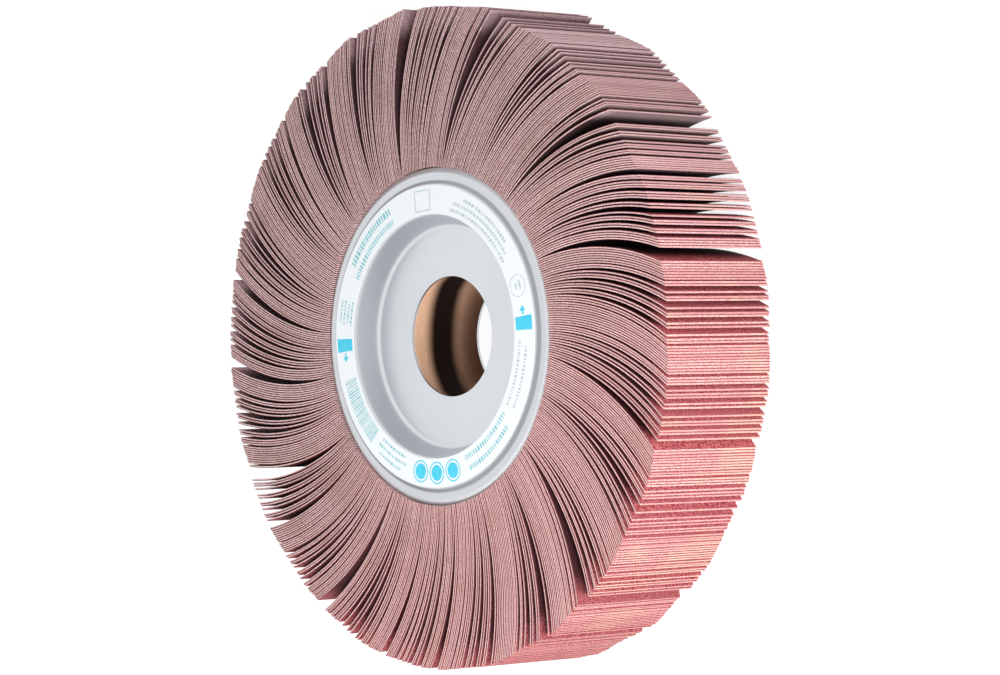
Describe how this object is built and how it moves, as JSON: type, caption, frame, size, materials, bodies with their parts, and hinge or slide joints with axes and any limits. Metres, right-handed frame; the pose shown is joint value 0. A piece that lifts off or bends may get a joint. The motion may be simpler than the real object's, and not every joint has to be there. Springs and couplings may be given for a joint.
{
  "type": "flap wheel",
  "caption": "Abrasive flap wheel with swept cloth flaps bonded to a core between two pressed steel flanges, with a plain round bore.",
  "frame": {"origin": "on the bore axis, half-way through the wheel's width", "axes": "+Z along the bore axis towards the labelled front face, +X to the wheel's right and +Y up in the picture"},
  "size_m": [0.2412, 0.2413, 0.0518],
  "materials": {
    "flap_cloth": "red coated abrasive cloth with a grey-brown back",
    "flange_steel": "satin pressed sheet",
    "label_paper": "matte white paper with plain blue and teal print",
    "tube_card": "wound brown card",
    "core_resin": "cured adhesive"
  },
  "bodies": {
    "root": {"core": "core_resin", "core_tube": "tube_card", "flap_bundle_01": "flap_cloth", "flap_bundle_02": "flap_cloth", "flap_bundle_03": "flap_cloth", "flap_bundle_04": "flap_cloth", "flap_bundle_05": "flap_cloth", "flap_bundle_06": "flap_cloth", "flap_bundle_07": "flap_cloth", "flap_bundle_08": "flap_cloth", "flap_bundle_09": "flap_cloth", "flap_bundle_10": "flap_cloth", "flap_bundle_11": "flap_cloth", "flap_bundle_12": "flap_cloth", "flap_bundle_13": "flap_cloth", "flap_bundle_14": "flap_cloth", "flap_bundle_15": "flap_cloth", "flap_bundle_16": "flap_cloth", "flap_bundle_17": "flap_cloth", "flap_bundle_18": "flap_cloth", "flap_bundle_19": "flap_cloth", "flap_bundle_20": "flap_cloth", "flap_bundle_21": "flap_cloth", "flap_bundle_22": "flap_cloth", "flap_bundle_23": "flap_cloth", "flap_bundle_24": "flap_cloth", "flap_bundle_25": "flap_cloth", "flap_bundle_26": "flap_cloth", "flap_bundle_27": "flap_cloth", "front_flange": "flange_steel", "label": "label_paper", "rear_flange": "flange_steel"}
  },
  "joints": []
}
